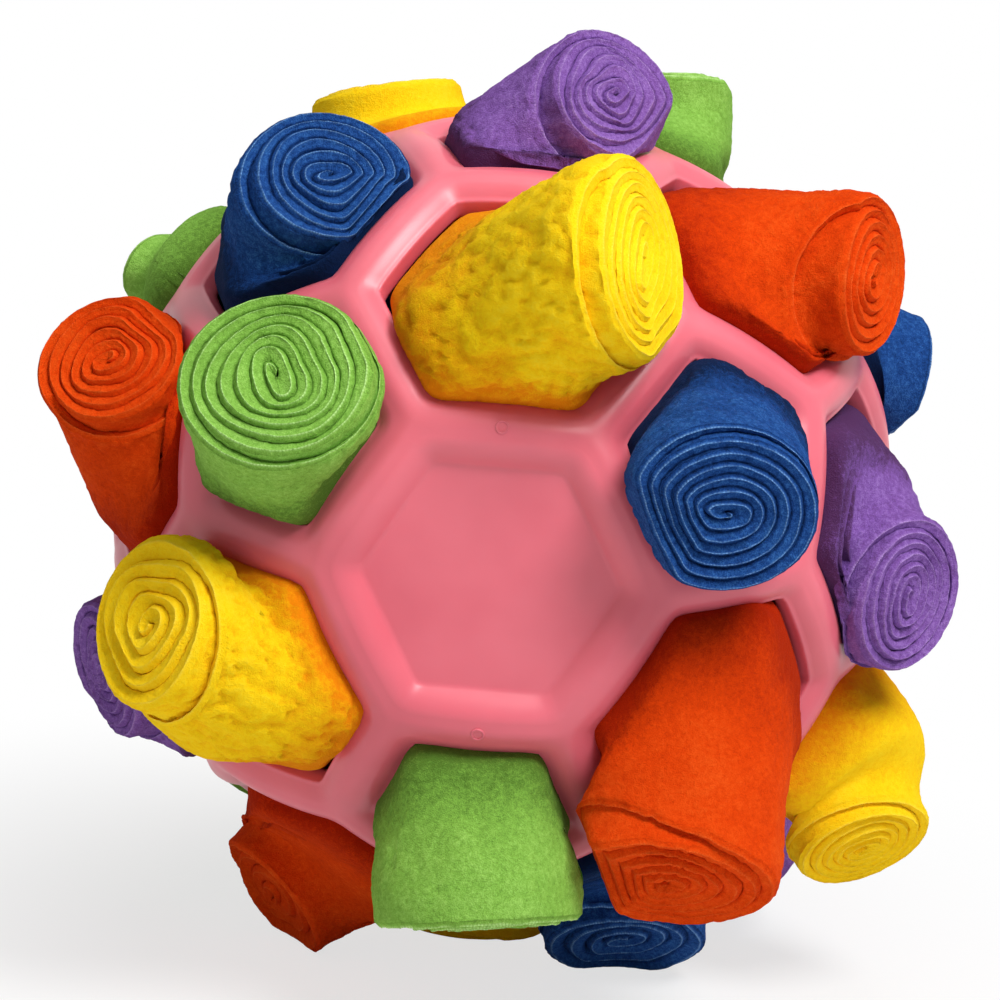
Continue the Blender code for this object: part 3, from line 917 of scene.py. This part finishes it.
    outward = envelopePoint(envelope, along, angles, np.full(along.shape, 1.05))
    outward = unit(outward - envelopePoint(envelope, along, angles, np.full(along.shape, 0.5)))
    world = inWorld(points, face)
    sway = [softNoise(world + 0.1 * k, stripNoise["sway"], seed + 7 + k) for k in range(3)]
    swayed = world + np.stack(sway, -1) * stripNoise["swayReach"]

    def creases(grain, more):
        # Thin lines where the noise passes zero, between one pad and the next
        near = 1 - np.abs(softNoise(swayed, grain, seed + more)) / stripNoise["creaseWidth"]
        return np.clip(near, 0, 1) ** stripNoise["creaseCurve"]

    crease, finer = creases(look["clump"], 3), creases(look["clump"] * 0.5, 4)
    aboveMouth = smoothStep(0.5, 0.6, along)
    soft = softNoise(world, stripNoise["soft"], seed + 2) * stripNoise["softReach"]
    soft = soft - look["crumple"] * (crease + 0.4 * finer - 0.4)
    soft = soft * np.where(onEdge, 0.15, 1.0) * smoothStep(0.3, 0.9, share)
    soft = soft * (1 - 0.7 * smoothStep(0.88, 0.98, along))  # calmer near the end
    fuzz = softNoise(world, stripNoise["fuzz"], seed + 11)
    soft = soft + look["fuzz"] * fuzz * np.where(onEdge, 0.5, 1.0)
    points = points + outward * (soft * aboveMouth)[..., None]
    free = (along > ringPlaces[2] + 0.02) & (share > 0.8)
    points[free] = keptInSpace(points[free], face, sizes, look["roam"])
    world = inWorld(points, face)
    world[..., 2] = np.maximum(world[..., 2], look["floorGap"])  # it rests on the floor

    rows, columns = along.shape
    quads = gridQuads(rows, columns, aroundColumns=True)
    caps = [np.arange(columns), np.arange((rows - 1) * columns, rows * columns)]
    runs = np.linalg.norm(np.diff(world, axis=0), axis=2)
    run = np.concatenate([[0], np.cumsum(runs[:, len(outer) // 2])])
    uv = np.stack([np.repeat(run[:, None], columns, axis=1), along * bodyLength], axis=-1) * 100
    # Painted shade along the creases between the crumpled pads, fuller where the crumple is deeper
    creaseShade = (crease + 0.5 * finer) * min(1.0, look["crumple"] / stripNoise["deepCrumple"])
    attributes = {
        "cutLine": (bright * (0.8 + 0.2 * ragged[:, None])).ravel(),
        "creaseShade": (creaseShade * aboveMouth * ~onEdge).ravel(),
        # painted shade in the crevices between the turns
        "creviceShade": (smoothStep(0.55, 1.0, np.abs(across)) * onEdge * np.ones_like(along)).ravel(),
        # painted shade in and just out of the opening, fading out up the body
        "openingShade": (1 - smoothStep(0.5, 0.8, along)).ravel(),
    }
    points, uv = world.reshape(-1, 3), uv.reshape(-1, 2)
    strip = makePiece(name + "_strip", points, quads, caps, material, uv, attributes)
    facedOutwards(strip)
    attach(strip, name + "_roll")
    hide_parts(name)


def makeStrips(faces, materials):
    for number, (name, row) in enumerate(rollPlaces.items()):
        tilt, turn = math.radians(row[0]), math.radians(row[1])
        towards = (math.sin(tilt) * math.cos(turn), -math.cos(tilt), math.sin(tilt) * math.sin(turn))
        face = max(faces, key=lambda each: float(each["axis"] @ np.array(towards)))
        look = {**windingLook, **windings.get(name, {})}
        look["step"] = look["farStep"] if row[0] > look["farTilt"] else look["step"]
        colour = name.split("_")[0]
        woundStrip(name, face, row[2:], look, rollSizes, materials[colour], 100 + 10 * number)
    print("strips:", len(rollPlaces))


# Materials


def newMaterial(name):
    material = bpy.data.materials.new(name)
    material.use_nodes = True
    return material, material.node_tree, material.node_tree.nodes["Principled BSDF"]


def setUp(node, **settings):
    # Sets a node's own properties by name, and its inputs by theirs
    for key, value in settings.items():
        if hasattr(node, key):
            setattr(node, key, value)
        else:
            node.inputs[key].default_value = value
    return node


def addNode(tree, kind, **settings):
    return setUp(tree.nodes.new("ShaderNode" + kind), **settings)


def wire(source, output, target, entry):
    source.id_data.links.new(source.outputs[output], target.inputs[entry])


def addMaths(tree, operation, first, second, clamp=False):
    # One operation on two values, each a number or another node's output
    node = addNode(tree, "Math", operation=operation, use_clamp=clamp)
    for socket, value in zip(node.inputs, (first, second)):
        if isinstance(value, (int, float)):
            socket.default_value = value
        else:
            tree.links.new(value, socket)
    return node.outputs[0]


def addRamp(tree, stops):
    # Each stop is a place and a colour
    ramp = addNode(tree, "ValToRGB")
    elements = ramp.color_ramp.elements
    elements[0].position, elements[1].position = stops[0][0], stops[-1][0]
    for place, _ in stops[1:-1]:
        elements.new(place)
    for element, (_, colour) in zip(elements, stops):
        element.color = (*colour, 1)
    return ramp


cageFinish = {
    "colours": [(0.35, (0.71, 0.12, 0.165)), (0.65, (0.79, 0.155, 0.205))],  # two pinks, over the drift
    "drift": {"Scale": 45.0, "Detail": 3.0},
    "skin": {"Scale": 900.0, "Detail": 4.0},  # for the bump
    "bump": {"Strength": 0.12, "Distance": 0.00008},
    "gloss": {"To Min": 0.32, "To Max": 0.42},  # roughness, over the drift
    "surface": {
        "Subsurface Weight": 0.12,
        "Subsurface Radius": (0.004, 0.0015, 0.0015),
        "Subsurface Scale": 1.0,
    },
}


def cageMaterial(look):
    # Satin soft plastic: slow drifts of colour and a faint unevenness of the moulded skin
    material, tree, shader = newMaterial("pinkPlastic")
    setUp(shader, **look["surface"])
    place = addNode(tree, "TexCoord")
    drift = addNode(tree, "TexNoise", **look["drift"])
    skin = addNode(tree, "TexNoise", **look["skin"])
    ramp = addRamp(tree, look["colours"])
    bump = addNode(tree, "Bump", **look["bump"])
    gloss = addNode(tree, "MapRange", **look["gloss"])
    wire(place, "Object", drift, "Vector")
    wire(place, "Object", skin, "Vector")
    wire(drift, "Fac", ramp, "Fac")
    wire(ramp, "Color", shader, "Base Color")
    wire(skin, "Fac", bump, "Height")
    wire(bump, "Normal", shader, "Normal")
    wire(drift, "Fac", gloss, "Value")
    wire(gloss, "Result", shader, "Roughness")
    return material


# Deep, plain, tip and knit colours of each fleece; the deep colour is also the colour of the painted shade
fleeceColours = {
    "yellow": ((0.82, 0.24, 0.003), (0.99, 0.64, 0.006), (1.0, 0.82, 0.05), (1.0, 0.92, 0.25)),
    "orange": ((0.38, 0.016, 0.001), (0.71, 0.052, 0.002), (0.93, 0.14, 0.015), (1.0, 0.26, 0.06)),
    "green": ((0.09, 0.2, 0.025), (0.22, 0.46, 0.065), (0.43, 0.75, 0.17), (0.68, 1.0, 0.4)),
    "blue": ((0.003, 0.012, 0.05), (0.012, 0.058, 0.24), (0.05, 0.19, 0.52), (0.24, 0.48, 0.86)),
    "purple": ((0.08, 0.028, 0.1), (0.22, 0.095, 0.38), (0.44, 0.26, 0.66), (0.66, 0.46, 0.86)),
}

# How deep the painted shade is between the turns and inside the opening, how far the knit shows, how strong
# the grain is
fleeceLook = {
    "yellow": {"creviceShadeDepth": 0.02, "knitShare": 0.25, "openingShadeDepth": 0.34, "grain": 0.45},
    "orange": {"creviceShadeDepth": 0.06, "knitShare": 0.3, "openingShadeDepth": 0.36, "grain": 0.6},
    "green": {"creviceShadeDepth": 0.16, "knitShare": 1.0, "openingShadeDepth": 0.36, "grain": 0.9},
    "blue": {"creviceShadeDepth": 0.2, "knitShare": 1.0, "openingShadeDepth": 0.55, "grain": 1.0},
    "purple": {"creviceShadeDepth": 0.08, "knitShare": 0.6, "openingShadeDepth": 0.42, "grain": 0.9},
}

# What the fleeces share
pileLook = {
    "noises": {
        "broad": {"Scale": 140.0, "Detail": 2.0},
        "tufts": {"Scale": 1300.0, "Detail": 3.0, "Roughness": 0.6},
        "fibres": {"Scale": 5200.0, "Detail": 2.0},
        "patches": {"Scale": 420.0, "Detail": 1.0},  # where the knit shows
    },
    "tuftShare": 0.6,
    "fibreShare": 0.4,
    "contrast": 0.9,
    "broadShare": 0.2,
    "creaseShadeDepth": 0.09,
    "stops": (0.22, 0.52, 0.85),  # tones of the deep, plain and tip colours
    "stitch": 0.055,  # length of one, in hundredths of a metre
    "stitchDepth": 0.3,
    "patchGain": 3.4,
    "patchLoss": 0.7,
    "bumpStrength": 0.4,
    "bumpDistance": 0.0006,
    "surface": {
        "Roughness": 0.92,
        "Specular IOR Level": 0.05,
        "Sheen Weight": 0.12,
        "Sheen Roughness": 0.5,
    },
}


def fleeceMaterial(colour, tones, look, shared):
    # Brushed pile: fine grains darker than the tips, painted shade in the creases, between the turns and in
    # the opening, and a pale dotted knit along the cut edge
    material, tree, shader = newMaterial(colour + "Fleece")
    deep, plain, tip, knit = tones
    contrast, grain = shared["contrast"], look["grain"]

    def maths(*given, clamp=False):
        return addMaths(tree, *given, clamp=clamp)

    place = addNode(tree, "TexCoord")
    fields = {}
    for field, settings in shared["noises"].items():
        texture = addNode(tree, "TexNoise", **settings)
        wire(place, "Object", texture, "Vector")
        fields[field] = texture.outputs["Fac"]
    for field in ("creaseShade", "openingShade", "creviceShade", "cutLine"):
        fields[field] = addNode(tree, "Attribute", attribute_name=field).outputs["Fac"]
    tufts = maths("MULTIPLY", fields["tufts"], shared["tuftShare"])
    pile = maths("ADD", tufts, maths("MULTIPLY", fields["fibres"], shared["fibreShare"]))
    tone = maths("ADD", maths("MULTIPLY", pile, contrast * grain), contrast / 2 * (1 - grain))
    tone = maths("ADD", tone, maths("MULTIPLY", fields["broad"], shared["broadShare"]))
    # painted shade: the tone falls toward the deep colour in the creases, between the turns and in the
    # opening
    depths = {"creaseShade": shared["creaseShadeDepth"], "creviceShade": look["creviceShadeDepth"], "openingShade": look["openingShadeDepth"]}
    for field, depth in depths.items():
        tone = maths("SUBTRACT", tone, maths("MULTIPLY", fields[field], depth))
    ramp = addRamp(tree, list(zip(shared["stops"], (deep, plain, tip))))
    tree.links.new(tone, ramp.inputs["Fac"])

    stitches = addNode(tree, "UVMap", uv_map="UVMap")
    split = addNode(tree, "SeparateXYZ")
    wire(stitches, "UV", split, 0)
    dots = maths("SINE", maths("MULTIPLY", split.outputs["X"], 2 * math.pi / shared["stitch"]), 0.0)
    dots = maths("ADD", maths("MULTIPLY", dots, shared["stitchDepth"]), 1 - shared["stitchDepth"])
    uneven = maths("MULTIPLY", fields["patches"], shared["patchGain"])
    uneven = maths("SUBTRACT", uneven, shared["patchLoss"], clamp=True)
    thread = maths("MULTIPLY", maths("MULTIPLY", fields["cutLine"], dots), uneven)
    thread = maths("MULTIPLY", thread, maths("ADD", fields["tufts"], 0.5), clamp=True)
    thread = maths("MULTIPLY", thread, look["knitShare"])
    line = addNode(tree, "Mix", data_type="RGBA")
    tree.links.new(thread, line.inputs["Factor"])
    colourIn = [socket for socket in line.inputs if socket.type == "RGBA"]
    tree.links.new(ramp.outputs["Color"], colourIn[0])
    colourIn[1].default_value = (*knit, 1)
    result = next(socket for socket in line.outputs if socket.type == "RGBA")
    tree.links.new(result, shader.inputs["Base Color"])

    strength = shared["bumpStrength"] * (1 + grain)
    bump = addNode(tree, "Bump", Strength=strength, Distance=shared["bumpDistance"])
    tree.links.new(pile, bump.inputs["Height"])
    wire(bump, "Normal", shader, "Normal")
    setUp(shader, **shared["surface"], **{"Sheen Tint": (*tip, 1)})
    return material


# Floor, backdrop and lights

studio = {
    "floorSize": 6.0,
    "floor": {"Base Color": (0.9, 0.9, 0.9, 1), "Roughness": 0.9},
    "fade": {"From Min": 0.048, "From Max": 0.16, "To Min": 0.7},  # share of pure white, over the distance
    "world": {"To Min": 0.2},  # its strength, but for what the camera sees
    "lamps": {
        "keyLamp": {"azimuth": 38, "elevation": 52, "distance": 0.9, "size": 0.35, "power": 7.4},
        "topLamp": {"azimuth": 10, "elevation": 80, "distance": 0.9, "size": 0.6, "power": 1.8},
        "fillLamp": {"azimuth": -45, "elevation": 15, "distance": 1.1, "size": 0.8, "power": 0.4},
    },
}


def whiteToCamera(tree):
    # 1 for rays from the camera, and for what shiny or clear things show
    rays = addNode(tree, "LightPath").outputs
    seen = addMaths(tree, "MAXIMUM", rays["Is Camera Ray"], rays["Is Glossy Ray"])
    return addMaths(tree, "MAXIMUM", seen, rays["Is Transmission Ray"])


def makeStudio(look):
    half = look["floorSize"] / 2
    corners = np.array([(-half, -half, 0), (half, -half, 0), (half, half, 0), (-half, half, 0)])
    material, tree, shader = newMaterial("paleFloor")
    setUp(shader, **look["floor"])
    seen = whiteToCamera(tree)
    place = addNode(tree, "TexCoord")
    distance = addNode(tree, "VectorMath", operation="LENGTH")
    wire(place, "Object", distance, 0)
    fade = addNode(tree, "MapRange", interpolation_type="SMOOTHSTEP", **look["fade"])
    wire(distance, "Value", fade, "Value")
    glow = addNode(tree, "Emission")
    mix = addNode(tree, "MixShader")
    tree.links.new(addMaths(tree, "MULTIPLY", seen, fade.outputs["Result"]), mix.inputs[0])
    wire(shader, 0, mix, 1)
    wire(glow, 0, mix, 2)
    wire(mix, 0, tree.nodes["Material Output"], "Surface")
    floor = makePiece("pale_floor", corners, np.array([[0, 1, 2, 3]]), (), material)

    world = bpy.data.worlds.new("studioWorld")
    bpy.context.scene.world = world
    world.use_nodes = True
    tree = world.node_tree
    strength = addNode(tree, "MapRange", **look["world"])
    tree.links.new(whiteToCamera(tree), strength.inputs["Value"])
    background = setUp(tree.nodes["Background"], Color=(1, 1, 1, 1))
    wire(strength, "Result", background, "Strength")

    for name, lamp in look["lamps"].items():
        out = outwards(lamp["azimuth"], lamp["elevation"])
        right = unit(np.cross((0, 0, 1), out))
        data = bpy.data.lights.new(name, "AREA")
        data.shape, data.size, data.energy = "DISK", lamp["size"], lamp["power"]
        light = bpy.data.objects.new(name, data)
        standAt(light, right, np.cross(out, right), out, lamp["distance"])
    print("studio ready")


makeCamera(photoView)
latticeFaces = ballLattice(ballRadius)
pinkPlastic = cageMaterial(cageFinish)
makeCage(latticeFaces, cageLook, pinkPlastic)
makeGateMarks(gateMark, pinkPlastic)
fleeces = {
    colour: fleeceMaterial(colour, tones, fleeceLook[colour], pileLook)
    for colour, tones in fleeceColours.items()
}
makeStrips(latticeFaces, fleeces)
makeStudio(studio)
bpy.context.scene.view_settings.view_transform = "Standard"
